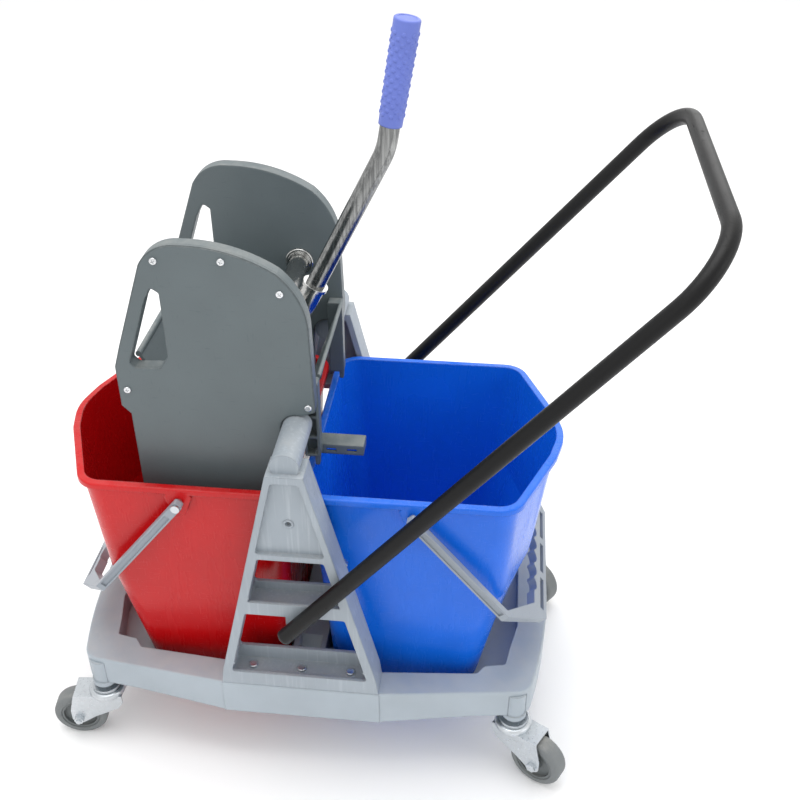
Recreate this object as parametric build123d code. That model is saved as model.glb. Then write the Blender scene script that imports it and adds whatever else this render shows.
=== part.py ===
from build123d import *
import math
import os

os.makedirs("parts", exist_ok=True)

# Twin-bucket mopping trolley with a down-press wringer. Millimetres, +Z up, the floor at Z = 0.
# X runs along the trolley, the red bucket on the -X side and the blue one with the push handle on
# the +X side. Y runs across it, and the front upright stands on the -Y side. Everything is laid out
# about the middle of the two uprights and shifted along X at the end, to centre the whole trolley.

# Castors
wheel_diameter = 80.0
tread_width = 28.0
hub_radius = 29.0
castor_trail = 46.0
axle_bolt_radius = 4.0
king_pin_radius = 6.0
running_clearance = 0.05
fork_plate = 2.5
cheek_gap = 2.5
crown_gap = 5.0
race_height = 8.0
race_radius = 27.0
stem_radius = 11.0
stem_height = 48.0
socket_ring_radius = 18.0
castor_x = 305.0
castor_y = 186.0
castor_headings = {"front_left": 186.0, "front_right": -30.0, "rear_left": 158.0, "rear_right": -38.0}

# Base frame
skirt_end_height = 48.0
skirt_mid_height = 58.0
skirt_slope_length = 137.0
base_wall = 4.0
base_half_length = 324.0
base_end_bulge = 26.0
base_end_half_width = 196.0
base_corner_radius = 28.0
foot_half_length = 113.0
foot_margin = 1.6
foot_step = 1.4
ledge_depth = 38.0
ledge_overlap = 13.0
rib_inner_x = 16.0
slot_length = 62.0
seat_gap = 0.4

# Buckets, measured on the outside of the wall below the rim
bucket_height = 349.0
bucket_wall = 3.0
bucket_half_width = 168.0
bucket_inner_x = 12.0
bucket_corner_x = 283.0
spout_reach = 62.0
spout_half_width = 50.0
knee_depth = 175.0
side_slope = 0.054
inner_slope = 0.06
upper_corner_slope = 0.052
upper_spout_slope = 0.08
lower_corner_slope = 0.172
lower_spout_slope = 0.18
lip_width = 7.0
lip_height = 9.0
lip_thickness = 3.0

# Bucket bails
bail_pivot_inset = 128.0
bail_pivot_depth = 21.0
bail_pin_radius = 3.5
bail_thickness = 10.0
bail_width = 13.0
bail_side_gap = 3.0
bail_grip_gap = 64.0
bail_grip_width = 30.0
bail_grip_half_length = 118.0
bail_shoulder = 63.0
bail_drop_angle = 51.0

# Uprights
upright_gap = 5.0
upright_depth = 42.0
upright_leg = 13.0
upright_foot_half = 109.0
saddle_over_rim = 79.2
saddle_radius = 18.5
saddle_overhang = 61.0
head_setback = 8.0
rail_wall = 5.0
web_thickness = 5.0
web_setback = 7.0
mount_hole_radius = 4.0
mount_hole_drop = 89.0

# Push handle
handle_tube_radius = 11.0
handle_tube_wall = 1.5
handle_foot_x = -11.3
handle_foot_drop = 272.6
handle_angle = 50.1
handle_length = 774.0
handle_bend_radius = 85.0

# Wringer, laid out about the saddle axis of the uprights
wringer_half_width = 132.0
cover_thickness = 4.0
casing_depth = 16.0
casing_wall = 3.0
saddle_clearance = 0.8
axle_x = -34.5
axle_rise = 113.0
axle_tube_radius = 13.5
axle_shaft_radius = 8.0
lever_angle = 26.8
lever_tube_radius = 12.5
lever_tube_wall = 2.0
socket_wall = 2.5
lever_bend_rise = 325.0
lever_top_angle = 9.3
lever_bend_radius = 90.0
lever_top_rise = 480.0
grip_radius = 16.5
grip_length = 125.0
gear_module = 3.0
lever_teeth = 36
plate_teeth = 120
gear_thickness = 6.0
pivot_offset = 6.0
press_shaft_radius = 6.0
press_half_width = 94.0
press_top_x = 25.0
press_top_rise = 57.0
sieve_thickness = 4.0
sieve_hole_radius = 4.0
bracket_inner_x = 5.0
bracket_outer_x = 26.0
bracket_width = 16.0

# Heights and places worked out from the sizes above
wheel_radius = wheel_diameter / 2
crown_z = wheel_diameter + crown_gap
race_z = crown_z + fork_plate
collar_z = race_z + race_height + 0.4
castor_top = collar_z + 20.1
base_top = castor_top + skirt_end_height
ledge_z = base_top - ledge_depth
bucket_z = ledge_z + seat_gap
rim_z = bucket_z + bucket_height
saddle_z = rim_z + saddle_over_rim
lip_half_width = bucket_half_width + lip_width
upright_inner_y = lip_half_width + upright_gap
upright_outer_y = upright_inner_y + upright_depth
foot_half_width = upright_outer_y + foot_margin
casing_outer_y = wringer_half_width - cover_thickness
casing_inner_y = casing_outer_y - casing_depth
axle_z = saddle_z + axle_rise
lever_pitch_radius = gear_module * lever_teeth / 2
plate_pitch_radius = gear_module * plate_teeth / 2
gear_centres = lever_pitch_radius + plate_pitch_radius
pivot_x = axle_x - pivot_offset
pivot_z = axle_z - math.sqrt(gear_centres**2 - pivot_offset**2)
bail_pivot_x = bucket_corner_x - bail_pivot_inset
bail_pivot_z = rim_z - bail_pivot_depth
handle_y = upright_outer_y + foot_margin + handle_tube_radius


def slab(outline, y_low, y_high):
    """A flat outline drawn in X and Z, made solid between two Y planes."""
    plane = Plane(origin=(0, y_high, 0), x_dir=(1, 0, 0), z_dir=(0, -1, 0))
    return extrude(plane * outline, amount=y_high - y_low)


def rod(x, z, radius, y_low, y_high):
    """A round rod along Y."""
    return slab(Pos(x, z) * Circle(radius), y_low, y_high)


def post(x, y, radius, z_low, z_high):
    """A round post along Z."""
    return Pos(x, y, z_low) * extrude(Circle(radius), amount=z_high - z_low)


def polygon(points):
    """A closed face through the points in the order given."""
    return make_face(Polyline(*points, close=True))


def rounded(points, radius):
    """A closed face with every corner rounded to one radius."""
    face = polygon(points)
    return fillet(face.vertices(), radius)


def both_sides(shape):
    """A shape on the front side and its mirror image on the rear side."""
    return Compound(children=shape.solids() + mirror(shape, about=Plane.XZ).solids())


# ---------------------------------------------------------------- base frame


def base_outline():
    """Outer edge of the base: a wide middle for the uprights, tapering to bulged ends."""
    foot = foot_half_length
    end = base_half_length
    wide = foot_half_width
    narrow = base_end_half_width
    tip = end + base_end_bulge
    edges = [
        Polyline(
            (-end, -narrow),
            (-foot, -wide + foot_step),
            (-foot, -wide),
            (foot, -wide),
            (foot, -wide + foot_step),
            (end, -narrow),
        ),
        ThreePointArc((end, -narrow), (tip, 0), (end, narrow)),
        Polyline(
            (end, narrow),
            (foot, wide - foot_step),
            (foot, wide),
            (-foot, wide),
            (-foot, wide - foot_step),
            (-end, narrow),
        ),
        ThreePointArc((-end, narrow), (-tip, 0), (-end, -narrow)),
    ]
    face = make_face(edges)
    corners = face.vertices().filter_by(lambda v: abs(v.X) > end - 1)
    return fillet(corners, base_corner_radius)


def bay_outline():
    """The well that the blue bucket stands in, stepped round the castor sockets."""
    near = rib_inner_x + base_wall * 2
    front = foot_half_width - 43
    end = base_half_length - 30
    half = [
        (near, front),
        (foot_half_length, front),
        (castor_x - 57, base_end_half_width - 27),
        (castor_x - 46, base_end_half_width - 42),
        (end - 5, base_end_half_width - 48),
        (end, base_end_half_width - 77),
        (end + 11, 70),
    ]
    mirrored = [(x, -y) for x, y in reversed(half)]
    return rounded(half + mirrored, 5)


def base_frame():
    """One moulding: a skirted ring, hollow from below, with a ledge in each bucket bay."""
    outline = base_outline()
    bay = bay_outline()
    bays = bay + mirror(bay, about=Plane.YZ)
    reach = foot_half_width - 43
    opening = Rectangle(rib_inner_x * 2, slot_length)
    slot = Pos(0, reach - slot_length / 2) * opening + Pos(0, slot_length / 2 - reach) * opening
    bottom = base_top - skirt_mid_height
    ring = Pos(0, 0, bottom) * extrude(outline - bays - slot, amount=skirt_mid_height)
    top_edge = ring.faces().sort_by(Axis.Z)[-1].outer_wire().edges()
    ring = fillet(top_edge, 3)
    inner = offset(outline, -base_wall)
    keep_out = offset(bays, base_wall) + offset(slot, base_wall)
    pocket_height = skirt_mid_height - base_wall
    ring -= Pos(0, 0, bottom) * extrude(inner - keep_out, amount=pocket_height)
    for side in (-1, 1):
        for end in (-1, 1):
            boss = Pos(castor_x * end, castor_y * side) * Circle(24)
            ring += Pos(0, 0, bottom) * extrude(boss & outline, amount=pocket_height)
    rise = skirt_mid_height - skirt_end_height
    wedge = [
        (foot_half_length, bottom - 1),
        (foot_half_length, bottom),
        (foot_half_length + skirt_slope_length, bottom + rise),
        (base_half_length + 60, bottom + rise),
        (base_half_length + 60, bottom - 1),
    ]
    cut = slab(polygon(wedge), -foot_half_width - 5, foot_half_width + 5)
    ring -= cut
    ring -= mirror(cut, about=Plane.YZ)
    window = offset(bucket_section(bucket_height), -ledge_overlap)
    ledge = bay - window
    ledges = ledge + mirror(ledge, about=Plane.YZ)
    ring += Pos(0, 0, ledge_z - base_wall) * extrude(ledges, amount=base_wall)
    for side in (-1, 1):
        for end in (-1, 1):
            ring -= post(castor_x * end, castor_y * side, stem_radius + 5, bottom - 1, stem_top())
    for x, y in upright_screw_places():
        for side in (-1, 1):
            ring -= post(x, y * side, 3, base_top - base_wall - 1, base_top + 1)
    return ring


def stem_top():
    """Upper end of a castor stem inside its socket."""
    return castor_top + stem_height - 8


def castor_sockets():
    """Four plastic sleeves pressed into the base, each holding a castor stem."""
    sleeves = []
    for side in (-1, 1):
        for end in (-1, 1):
            x = castor_x * end
            y = castor_y * side
            sleeve = post(x, y, stem_radius + 5, castor_top, stem_top())
            sleeve += post(x, y, socket_ring_radius, castor_top - 8, castor_top)
            sleeves.append(sleeve - post(x, y, stem_radius, castor_top - 9, stem_top() - 3))
    return Compound(children=sleeves)


# ---------------------------------------------------------------- uprights


def upright_half(z):
    """Half width of the A-shaped upright at a height."""
    top_half = saddle_radius
    foot_z = base_top + 25
    share = (z - foot_z) / (saddle_z + 13 - foot_z)
    return upright_foot_half + (top_half - upright_foot_half) * share


def upright_window(z_low, z_high, margin):
    """An opening between the two legs, with rounded corners."""
    low = upright_half(z_low) - margin
    high = upright_half(z_high) - margin
    corner = min(4, (z_high - z_low) / 3)
    return rounded([(-low, z_low), (low, z_low), (high, z_high), (-high, z_high)], corner)


def upright_screw_places():
    """Places of the screws through each upright's foot, in X and Y."""
    y = upright_inner_y + upright_depth / 2
    return [(-70, y), (0, y), (70, y)]


def upright():
    """The front upright: an A-shaped moulding with two open windows, a shelf and a saddle arm."""
    front = -upright_outer_y
    back = -upright_inner_y
    foot = base_top
    height = saddle_z - base_top
    lip_z = foot + 25
    shelf_z = foot + 0.363 * height
    ledge = foot + 0.622 * height
    web_top = saddle_z - 21
    head_z = saddle_z - 10
    outline = polygon(
        [
            (-foot_half_length + 1, foot),
            (foot_half_length - 1, foot),
            (upright_foot_half, lip_z),
            (upright_half(head_z), head_z),
            (-upright_half(head_z), head_z),
            (-upright_foot_half, lip_z),
        ]
    )
    body = slab(outline, front, back)
    low_window = upright_window(foot + 40, shelf_z, upright_leg)
    body -= slab(low_window, front - 1, back + 1)
    high_window = upright_window(shelf_z + 27, ledge, upright_leg)
    body -= slab(high_window, front - 1, back + 1)
    # the foot rail and the shelf are troughs: a low wall in front and a high wall behind
    for floor_z, front_wall, back_wall in ((foot, 25, 40), (shelf_z, 22, 27)):
        inside = upright_window(floor_z + front_wall - 8, floor_z + back_wall + 1, upright_leg)
        body -= slab(inside, front + rail_wall, back - rail_wall)
        under = upright_window(floor_z - 1, floor_z + front_wall - 12, upright_leg)
        body -= slab(under, front + rail_wall, back - rail_wall)
        above = upright_window(floor_z + front_wall, floor_z + back_wall + 1, upright_leg)
        body -= slab(above, front - 1, front + rail_wall + 1)
    # the upper panel is a thin web set a little back between the legs, open from behind
    panel = upright_window(ledge + 9, web_top, upright_leg - 4)
    body -= slab(panel, front - 1, front + web_setback)
    body -= slab(panel, front + web_setback + web_thickness, back + 1)
    hole_z = saddle_z - mount_hole_drop
    web_back = front + web_setback + web_thickness
    body += rod(0, hole_z, mount_hole_radius + 3, front + web_setback - 1, web_back + 4)
    body -= rod(0, hole_z, mount_hole_radius, front, back)
    body += rod(0, saddle_z, saddle_radius, front + head_setback, back + saddle_overhang)
    tab = polygon([(-12, shelf_z), (12, shelf_z), (12, shelf_z - 24), (-12, shelf_z - 24)])
    body += slab(tab, front, front + rail_wall + 1)
    for x, z in handle_bolt_places():
        body -= rod(x, z, 4, front - 1, back + 1)
    for x, y in upright_screw_places():
        body += post(x, -y, 6, foot, foot + 13)
        body -= post(x, -y, 3, foot - 1, foot + 18)
    return body


def upright_screws():
    """Pan-head screws that hold the uprights down on the base."""
    seat = base_top + 17
    screws = []
    for x, y in upright_screw_places():
        head = post(x, -y, 6.5, seat, seat + 4)
        head = fillet(head.edges().sort_by(Axis.Z)[-1], 2)
        screws.append(head + post(x, -y, 3, base_top - base_wall - 6, seat))
    return both_sides(Compound(children=screws))


# ---------------------------------------------------------------- push handle


def handle_point(distance):
    """A point on the front arm of the handle, measured up from its lower end."""
    angle = math.radians(handle_angle)
    foot_z = saddle_z - handle_foot_drop
    return (handle_foot_x + distance * math.cos(angle), foot_z + distance * math.sin(angle))


def handle_bolt_places():
    """Where each arm is bolted: on the shelf's tab, and on the upright's +X leg."""
    lower = handle_point(15)
    distance = 15
    x, z = lower
    while upright_half(z) - upright_leg / 2 > x:
        distance += 0.5
        x, z = handle_point(distance)
    return [lower, (x, z)]


def push_handle():
    """A bent steel tube: two sloping arms joined by a crossbar."""
    foot_x, foot_z = handle_point(0)
    top_x, top_z = handle_point(handle_length)
    path = FilletPolyline(
        (foot_x, -handle_y, foot_z),
        (top_x, -handle_y, top_z),
        (top_x, handle_y, top_z),
        (foot_x, handle_y, foot_z),
        radius=handle_bend_radius,
    )
    ring = Circle(handle_tube_radius) - Circle(handle_tube_radius - handle_tube_wall)
    start = Plane(origin=path @ 0, z_dir=path % 0)
    tube = sweep(start * ring, path=path)
    for x, z in handle_bolt_places():
        tube -= rod(x, z, 4, -handle_y, handle_y)
    return tube


def handle_end_plugs():
    """Plastic plugs in the lower ends of the handle tube."""
    foot_x, foot_z = handle_point(0)
    up_x, up_z = handle_point(1)
    direction = (up_x - foot_x, 0, up_z - foot_z)
    plane = Plane(origin=(foot_x, -handle_y, foot_z), z_dir=direction)
    inside = handle_tube_radius - handle_tube_wall
    cap = extrude(plane.offset(-2.5) * Circle(handle_tube_radius), amount=2.5)
    plug = extrude(plane * Circle(inside), amount=6)
    return both_sides(cap + plug)


def handle_bolts():
    """Bolts with spacers and nuts through each arm of the handle and the upright behind it."""
    pieces = []
    outer = -handle_y - handle_tube_radius
    front = -upright_outer_y
    depths = (front + rail_wall + 1, -upright_inner_y)
    for (x, z), inner in zip(handle_bolt_places(), depths):
        bolt = rod(x, z, 4, outer + 6, inner + 7)
        nut = Pos(x, z) * RegularPolygon(6.5, 6, major_radius=False)
        bolt += slab(nut, inner, inner + 6)
        spacer = rod(x, z, 7, front - foot_margin - 1.4, front) - rod(x, z, 4, front - 5, front)
        tube = cross_tube()
        pieces.append(bolt)
        pieces.append(spacer - tube)
    return both_sides(Compound(children=pieces))


def cross_tube():
    """The outside of the front handle arm, to shape what bears on it."""
    foot_x, foot_z = handle_point(-20)
    up_x, up_z = handle_point(1)
    direction = (up_x - foot_x, 0, up_z - foot_z)
    plane = Plane(origin=(foot_x, -handle_y, foot_z), z_dir=direction)
    return extrude(plane * Circle(handle_tube_radius), amount=240)


# ---------------------------------------------------------------- buckets


def bucket_section(depth):
    """Outline of the blue bucket's wall at a depth below the rim, pouring spout at +X."""
    upper = min(depth, knee_depth)
    lower = max(depth - knee_depth, 0)
    half = bucket_half_width - side_slope * depth
    inner = bucket_inner_x + inner_slope * depth
    corner = bucket_corner_x - upper_corner_slope * upper - lower_corner_slope * lower
    spout = spout_reach - upper_spout_slope * upper - lower_spout_slope * lower
    shoulder = corner + 0.8 * spout
    tip = corner + spout
    face = polygon(
        [
            (inner, -half),
            (corner, -half),
            (shoulder, -spout_half_width),
            (tip, 0),
            (shoulder, spout_half_width),
            (corner, half),
            (inner, half),
        ]
    )
    face = fillet(face.vertices().filter_by(lambda v: abs(v.Y) > half - 1), 30)
    face = fillet(face.vertices().filter_by(lambda v: abs(v.X - shoulder) < 0.01 and abs(v.Y) < 60), 60)
    return fillet(face.vertices().filter_by(lambda v: abs(v.Y) < 0.01), 90)


def bucket_shell(inset, floor):
    """The bucket's tapered form down to its floor, shrunk by an inset on every side."""
    depths = (0, knee_depth, bucket_height - floor)
    levels = []
    for depth in depths:
        face = bucket_section(depth)
        if inset:
            face = offset(face, -inset)
        levels.append(Pos(0, 0, rim_z - depth) * face)
    lower = loft([levels[2], levels[1]], ruled=True)
    upper = loft([levels[1], levels[0]], ruled=True)
    return lower + upper


def bucket():
    """The blue bucket: a tapered tub with a rolled lip, a spout end and two bail lugs."""
    body = bucket_shell(0, 0)
    top = bucket_section(0)
    roll = Pos(0, 0, rim_z - lip_height) * extrude(offset(top, lip_width), amount=lip_height)
    roll = fillet(roll.faces().sort_by(Axis.Z)[-1].edges(), 2.5)
    under = offset(top, lip_width - lip_thickness)
    roll -= Pos(0, 0, rim_z - lip_height - 1) * extrude(under, amount=lip_height - lip_thickness + 1)
    body += roll
    lug = rounded([(-20, -9), (20, -9), (8, -42), (-8, -42)], 4)
    lug = Pos(bail_pivot_x, rim_z) * lug
    body += slab(lug, -lip_half_width, -bucket_half_width + 12)
    body += slab(lug, bucket_half_width - 12, lip_half_width)
    body -= bucket_shell(bucket_wall, bucket_wall + 0.5)
    cap = offset(top, -bucket_wall)
    body -= Pos(0, 0, rim_z - 1) * extrude(cap, amount=2)
    reach = lip_half_width - 6
    for side in (-1, 1):
        hole = rod(bail_pivot_x, bail_pivot_z, bail_pin_radius, reach, lip_half_width + 1)
        body -= hole if side > 0 else mirror(hole, about=Plane.XZ)
    return body


def bail_pins():
    """Two headed pins pressed into the lugs, which the bail turns on."""
    inner = lip_half_width - 6
    outer = lip_half_width + bail_side_gap + bail_thickness + 0.6
    pin = rod(bail_pivot_x, bail_pivot_z, bail_pin_radius, inner, outer + 2)
    pin += rod(bail_pivot_x, bail_pivot_z, bail_pin_radius + 2.5, outer, outer + 2.5)
    pin += rod(bail_pivot_x, bail_pivot_z, bail_pin_radius + 2.5, lip_half_width, lip_half_width + 2.4)
    return both_sides(pin)


def bail():
    """The blue bucket's carrying handle, a flat moulded bow with a grooved grip."""
    inner_y = lip_half_width + bail_side_gap
    outer_y = inner_y + bail_thickness
    tip_reach = bucket_corner_x + spout_reach + lip_width - bail_pivot_x
    grip = tip_reach + bail_grip_gap
    knee = grip - bail_shoulder
    end = bail_grip_half_length
    back = bail_width / 2
    outer = [
        (-back, outer_y),
        (knee + 4, outer_y),
        (grip + bail_grip_width, end),
        (grip + bail_grip_width, -end),
        (knee + 4, -outer_y),
        (-back, -outer_y),
    ]
    inner = [
        (-back - 1, inner_y),
        (knee, inner_y),
        (grip, end - 8),
        (grip, -end + 8),
        (knee, -inner_y),
        (-back - 1, -inner_y),
    ]
    bow = extrude(polygon(outer) - polygon(inner), amount=bail_width / 2, both=True)
    for place in (-72, -43, -14, 14, 43, 72):
        bow -= Pos(grip - 9, place, 0) * Cylinder(15, bail_width + 2)
    for place in (-76, 0, 76):
        bow -= Pos(grip + bail_grip_width / 2 + 4, place, 0) * Box(8, 62, bail_width + 2)
    for side in (-1, 1):
        y = side * (outer_y + 1)
        bow -= Pos(knee / 2 + 8, y, 0) * Box(knee - 26, 7, bail_width - 5)
        hole = Rot(90, 0, 0) * Cylinder(bail_pin_radius + running_clearance, 40)
        bow -= Pos(0, side * outer_y, 0) * hole
    corners = bow.edges().filter_by(Axis.Y).filter_by(lambda e: e.center().X < -back + 0.1)
    bow = fillet(corners, 3)
    angle = math.radians(bail_drop_angle)
    direction = (math.cos(angle), 0, -math.sin(angle))
    normal = (math.sin(angle), 0, math.cos(angle))
    return Plane(origin=(bail_pivot_x, 0, bail_pivot_z), x_dir=direction, z_dir=normal) * bow


# ---------------------------------------------------------------- castors


def castor_stem():
    """King pin, collar and stem: the part of a castor that stays still in the base."""
    stem = post(0, 0, stem_radius, collar_z + 5, stem_top() - 3.4)
    stem += post(0, 0, 21, collar_z, collar_z + 5)
    stem += post(0, 0, king_pin_radius, crown_z - 1, collar_z)
    stem += post(0, 0, king_pin_radius + 3, crown_z - 4, crown_z - 0.4)
    return stem


def castor_race():
    """The domed ball race on top of the fork."""
    race = post(0, 0, race_radius, race_z, race_z + race_height)
    race = fillet(race.edges().sort_by(Axis.Z)[-1], 5)
    ring = post(0, 0, 17, race_z + race_height - 2, race_z + race_height + 1)
    return race - ring - post(0, 0, king_pin_radius + running_clearance, race_z - 1, collar_z)


def castor_fork():
    """Pressed fork: a crown plate with two cheeks that reach down to the wheel axle."""
    inside = tread_width / 2 + cheek_gap
    outside = inside + fork_plate
    back = race_radius - 3
    front = castor_trail + 3
    axle = (castor_trail, wheel_radius)
    cheek = polygon(
        [
            (-back, race_z),
            (front, race_z),
            (castor_trail + 11, wheel_radius + 16),
            (castor_trail + 11, wheel_radius),
            (castor_trail - 5, wheel_radius - 10),
            (castor_trail - 26, wheel_radius + 4),
            (-back + 8, race_z - 26),
            (-back, race_z - 14),
        ]
    )
    cheek += Pos(*axle) * Circle(11)
    fork = slab(cheek, inside, outside) + slab(cheek, -outside, -inside)
    crown = Rectangle(back + front, 2 * outside)
    crown = Pos((front - back) / 2, 0) * crown + Circle(race_radius - 1)
    fork += Pos(0, 0, crown_z) * extrude(crown, amount=fork_plate)
    fork -= rod(*axle, axle_bolt_radius, -outside - 1, outside + 1)
    return fork - post(0, 0, king_pin_radius + running_clearance, crown_z - 1, race_z + 1)


def castor_axle():
    """Axle bolt with its head and nut, clamping a sleeve between the cheeks."""
    outside = tread_width / 2 + cheek_gap + fork_plate
    place = Pos(castor_trail, wheel_radius)
    bolt = rod(castor_trail, wheel_radius, axle_bolt_radius, -outside - 4, outside + 9)
    hexagon = place * RegularPolygon(6.5, 6, major_radius=False)
    bolt += slab(hexagon, -outside - 5, -outside)
    bolt += slab(hexagon, outside, outside + 6)
    return bolt


def castor_hub():
    """Wheel centre with a raised boss and a recessed web."""
    half = tread_width / 2
    hub = rod(castor_trail, wheel_radius, hub_radius, -half + 1, half - 1)
    recess = Circle(hub_radius - 4) - Circle(11)
    recess = Pos(castor_trail, wheel_radius) * recess
    hub -= slab(recess, half - 6, half)
    hub -= slab(recess, -half, -half + 6)
    hub += rod(castor_trail, wheel_radius, 9, -half - cheek_gap + 0.5, half + cheek_gap - 0.5)
    bore = axle_bolt_radius + running_clearance
    return hub - rod(castor_trail, wheel_radius, bore, -half - 5, half + 5)


def castor_tyre():
    """Solid rubber tyre with rounded shoulders."""
    half = tread_width / 2
    tyre = rod(castor_trail, wheel_radius, wheel_radius, -half, half)
    tyre = fillet(tyre.edges(), 6)
    return tyre - rod(castor_trail, wheel_radius, hub_radius, -half - 1, half + 1)


def place_castor(shape, corner):
    """Turn a castor piece to its heading and set it under its corner of the base."""
    x = castor_x if corner.endswith("right") else -castor_x
    y = castor_y if corner.startswith("rear") else -castor_y
    return Pos(x, y, 0) * Rot(0, 0, castor_headings[corner]) * shape


# ---------------------------------------------------------------- wringer shells


def panel_outline():
    """Side view of the wringer: tall rounded head, saddle notch, and a tail in the bucket."""
    notch = saddle_radius + saddle_clearance
    side = notch * math.sqrt(0.5)
    shoulder = math.sqrt(notch**2 - 36)
    edges = [
        Polyline((-195, -158), (-216, -132), (-216, 7), (-227, 19), (-227, 78), (-217, 109), (-177, 223)),
        ThreePointArc((-177, 223), (-160, 242), (-126, 251)),
        ThreePointArc((-126, 251), (-66, 243.5), (-12, 219)),
        ThreePointArc((-12, 219), (12, 188), (23, 139)),
        Polyline((23, 139), (25.5, 36), (24.5, 25), (6, shoulder)),
        ThreePointArc((6, shoulder), (-side, side), (-notch, 0)),
        Polyline((-notch, 0), (-22, -30), (-25, -140), (-42, -158), (-195, -158)),
    ]
    return Pos(0, saddle_z) * make_face(edges)


def hand_hole():
    """The grip opening near the wringer's outer edge."""
    points = [(-166, 194), (-156, 187), (-156, 98), (-168, 79), (-200, 78), (-207, 85), (-176, 175)]
    return Pos(0, saddle_z) * rounded(points, 4)


def cover_screw_places():
    """Where the five screws go through each cover."""
    places = [(-157, 230), (-76, 233), (-9, 194), (-215, 45), (17, 33)]
    return [(x, saddle_z + rise) for x, rise in places]


def front_casing():
    """Inner shell of the front side panel: a tray that holds the gears, open to the cover."""
    outline = panel_outline()
    hole = hand_hole()
    cavity = offset(outline, -casing_wall) - offset(hole, casing_wall)
    outer = -casing_outer_y
    inner = -casing_inner_y
    casing = slab(outline - hole, outer, inner)
    casing -= slab(cavity, outer - 1, inner - casing_wall)
    for x, z in cover_screw_places():
        boss = Pos(x, z) * Circle(5)
        casing += slab(boss & outline, outer, inner - casing_wall)
        casing -= rod(x, z, 2, outer - 1, inner - casing_wall - 1)
    casing -= rod(axle_x, axle_z, axle_shaft_radius + 4, outer, inner + 1)
    casing -= rod(pivot_x, pivot_z, press_shaft_radius + 4, outer, inner + 1)
    return casing


def front_cover():
    """Outer cover of the front side panel, with softened edges."""
    outline = panel_outline()
    hole = hand_hole()
    step = -wringer_half_width + 1.2
    cover = slab(outline - hole, step, -casing_outer_y)
    cover += slab(offset(outline, -1.2) - hole, -wringer_half_width, step)
    for x, z in cover_screw_places():
        cover -= rod(x, z, 2, -wringer_half_width - 1, -casing_outer_y + 1)
    return cover


def cover_screws():
    """Pan-head screws that hold one cover on its casing."""
    screws = []
    for x, z in cover_screw_places():
        head = rod(x, z, 4.8, -wringer_half_width - 2.6, -wringer_half_width)
        head = fillet(head.edges().sort_by(Axis.Y)[0], 1.8)
        screws.append(head + rod(x, z, 2, -wringer_half_width, -casing_outer_y + 9))
    return Compound(children=screws)


def fixed_sieve():
    """The fixed plate that the mop is pressed against, bent in at the foot and full of holes."""
    points = [(-201, 87), (-121, -40), (-72, -94), (-68, -118)]
    path = Pos(0, saddle_z) * Polyline(*points)
    line = offset(path, sieve_thickness / 2, side=Side.BOTH)
    plate = slab(make_face(line), -casing_inner_y, casing_inner_y)
    ribs = Pos(-201, saddle_z + 87) * Circle(4)
    plate += slab(ribs, -casing_inner_y, casing_inner_y)
    ribs = Pos(-170, saddle_z + 38) * Circle(3.5)
    plate += slab(ribs, -casing_inner_y, casing_inner_y)
    slope = math.degrees(math.atan2(127, 80))
    middle = Plane(origin=(-143, 0, saddle_z - 4), x_dir=(0, 1, 0), z_dir=Vector(127, 0, 80))
    for hole in GridLocations(22, 20, 9, 3) * Circle(sieve_hole_radius):
        plate -= extrude(middle * hole, amount=20, both=True)
    return plate


def bracket():
    """Ribbed bracket under the front panel's corner, hooked inside the blue bucket's rim."""
    inner = -casing_inner_y + bracket_width
    outer = -casing_inner_y
    left = bracket_inner_x
    right = bracket_outer_x
    shape = rounded([(left, -59), (right, -59), (right, press_top_rise), (left, press_top_rise)], 3)
    body = slab(Pos(0, saddle_z) * shape, outer, inner)
    cells = ((-56, -30), (-26, 2), (6, 27), (31, 53))
    for low, high in cells:
        cell = rounded([(left + 3, low), (right - 4, low), (right - 4, high), (left + 3, high)], 2)
        body -= slab(Pos(0, saddle_z) * cell, outer - 1, inner - 3)
    hook = rounded([(right - 8, -50), (right - 1, -50), (right - 2, -74), (right - 8, -74)], 2)
    return body + slab(Pos(0, saddle_z) * hook, outer + 2, outer + 10)


def rest_arm():
    """A slotted arm that reaches out over the blue bucket from the front bracket."""
    y_low = -casing_inner_y + bracket_width
    x_low = bracket_outer_x - 8
    arm = Pos(0, saddle_z) * rounded([(x_low, -65), (81, -65), (81, -50), (x_low, -50)], 1.5)
    body = slab(arm, y_low, y_low + 26)
    hollow = Pos(0, saddle_z) * rounded([(x_low + 9, -66), (78, -66), (78, -53), (x_low + 9, -53)], 1)
    body -= slab(hollow, y_low + 3, y_low + 23)
    for x in (37, 65):
        slot = Pos(x, saddle_z - 58) * Rectangle(13, 4)
        body -= slab(slot, y_low - 1, y_low + 4)
    return body


def axle_flanges():
    """Flanged bushes that carry the lever axle in the two casings."""
    inner = -casing_inner_y
    flange = rod(axle_x, axle_z, 20, inner, inner + 3.5)
    flange = fillet(flange.edges().sort_by(Axis.Y)[-1], 2)
    flange += rod(axle_x, axle_z, 16, inner + 3, inner + 7)
    flange += rod(axle_x, axle_z, axle_shaft_radius + 4, inner - casing_wall, inner)
    bore = axle_shaft_radius + running_clearance
    return both_sides(flange - rod(axle_x, axle_z, bore, inner - 5, inner + 9))


def pivot_bushes():
    """Flanged bushes that carry the press plate's shaft in the two casings."""
    inner = -casing_inner_y
    bush = rod(pivot_x, pivot_z, press_shaft_radius + 7, inner, inner + 3)
    bush += rod(pivot_x, pivot_z, press_shaft_radius + 4, inner - casing_wall, inner)
    bore = press_shaft_radius + running_clearance
    return both_sides(bush - rod(pivot_x, pivot_z, bore, inner - 5, inner + 9))


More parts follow.
